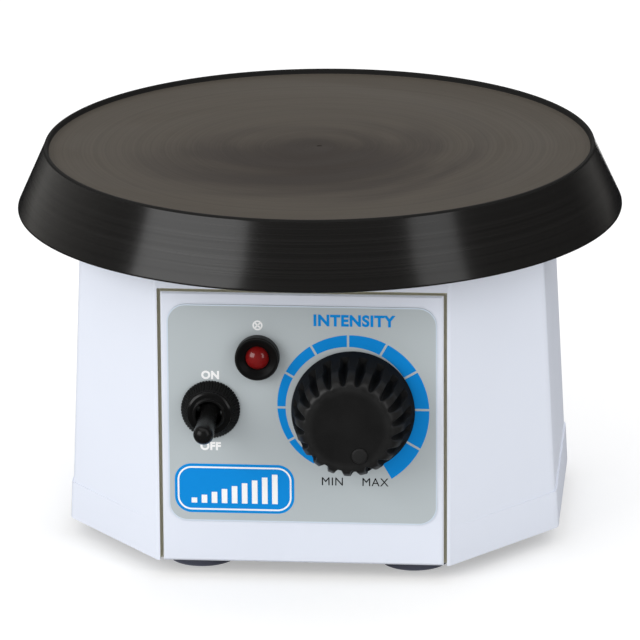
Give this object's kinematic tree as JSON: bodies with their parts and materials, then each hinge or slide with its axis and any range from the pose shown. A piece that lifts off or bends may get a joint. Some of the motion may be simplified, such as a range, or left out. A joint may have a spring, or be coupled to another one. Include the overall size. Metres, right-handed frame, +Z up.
{
  "type": "round-table bench vibrator",
  "caption": "Bench vibrator: flat round rubber table, shaken by an electromagnet, on a low eight-sided white housing with rotary control, toggle switch and pilot lamp.",
  "frame": {"origin": "on the floor, midway between the four feet, under the table's centre", "axes": "+Z up through the table's centre, -Y is the front with the controls, +X to the right of it"},
  "size_m": [0.1654, 0.1654, 0.1045],
  "materials": {
    "housing_white": "fine moulded white",
    "panel_white": "smooth white",
    "label_grey": "satin printed film",
    "base_steel": "satin grey",
    "zinc_screws": "zinc plated",
    "plated_steel": "zinc plated",
    "spring_steel": "blued spring steel",
    "core_steel": "varnished laminations",
    "bobbin_plastic": "natural nylon",
    "copper_wire": "enamelled copper",
    "hub_aluminium": "turned",
    "table_rubber": "moulded black rubber, matte worn top",
    "foot_rubber": "dark slate rubber",
    "knob_black": "satin moulded black",
    "switch_black": "black, satin",
    "lamp_black": "black, glossy",
    "lens_red": "deep red translucent lens",
    "bulb_glass": "clear neon bulb",
    "bushing_brass": "plated brass",
    "board_green": "printed board",
    "component_black": "moulded case",
    "capacitor_yellow": "moulded case"
  },
  "bodies": {
    "base": {"base_plate": "base_steel", "base_screws": "zinc_screws", "bracket_screws": "zinc_screws", "capacitor": "capacitor_yellow", "coil_bobbin": "bobbin_plastic", "coil_winding": "copper_wire", "control_board": "board_green", "cord_grommet": "foot_rubber", "core_bolts": "zinc_screws", "core_bracket_front": "plated_steel", "core_bracket_rear": "plated_steel", "core_nuts": "zinc_screws", "foot_front_left": "foot_rubber", "foot_front_right": "foot_rubber", "foot_nuts": "zinc_screws", "foot_rear_left": "foot_rubber", "foot_rear_right": "foot_rubber", "foot_screws": "zinc_screws", "front_panel": "panel_white", "housing_shell": "housing_white", "lamp_bulb": "bulb_glass", "lamp_holder": "lamp_black", "lamp_lens": "lens_red", "lamp_nut": "lamp_black", "leaf_spring_front": "spring_steel", "leaf_spring_rear": "spring_steel", "magnet_core": "core_steel", "panel_label": "label_grey", "panel_screws": "zinc_screws", "post_screws": "zinc_screws", "pot_bushing": "bushing_brass", "pot_case": "plated_steel", "pot_nut": "bushing_brass", "spring_end_screws": "zinc_screws", "spring_post_front_left": "plated_steel", "spring_post_front_right": "plated_steel", "spring_post_rear_left": "plated_steel", "spring_post_rear_right": "plated_steel", "toggle_back_nut": "plated_steel", "toggle_bushing": "switch_black", "toggle_case": "component_black", "toggle_dress_nut": "switch_black", "toggle_pivot_pin": "plated_steel", "toggle_terminals": "bushing_brass", "triac": "component_black"},
    "table": {"rubber_table_cover": "table_rubber", "table_plate": "plated_steel", "table_plate_screws": "zinc_screws", "drive_hub": "hub_aluminium", "hub_screws": "zinc_screws", "spring_carrier": "plated_steel", "clamp_bar_front": "plated_steel", "clamp_bar_rear": "plated_steel", "clamp_screws": "zinc_screws", "armature": "core_steel", "armature_screws": "zinc_screws"},
    "knob": {"control_knob": "knob_black", "knob_set_screw": "zinc_screws", "pot_shaft": "plated_steel"},
    "toggle": {"toggle_lever": "switch_black"}
  },
  "joints": [
    {"name": "table_vibration", "type": "slide", "parent": "base", "child": "table", "axis": [0, 0, 1], "range_m": [-0.0006, 0.0006], "stiffness_N_per_m": 60000, "springref_m": 0.00025, "deforming": ["leaf_spring_front", "leaf_spring_rear"]},
    {"name": "control_knob_turn", "type": "hinge", "parent": "base", "child": "knob", "pos_m": [0.01365, -0.05928, 0.04757], "axis": [0, -0.9993, 0.0375], "range_deg": [0, 300]},
    {"name": "toggle_flip", "type": "hinge", "parent": "base", "child": "toggle", "pos_m": [-0.0244, -0.0613, 0.04714], "axis": [-0.9848, 0.0065, 0.1735], "range_deg": [0, 30]}
  ]
}
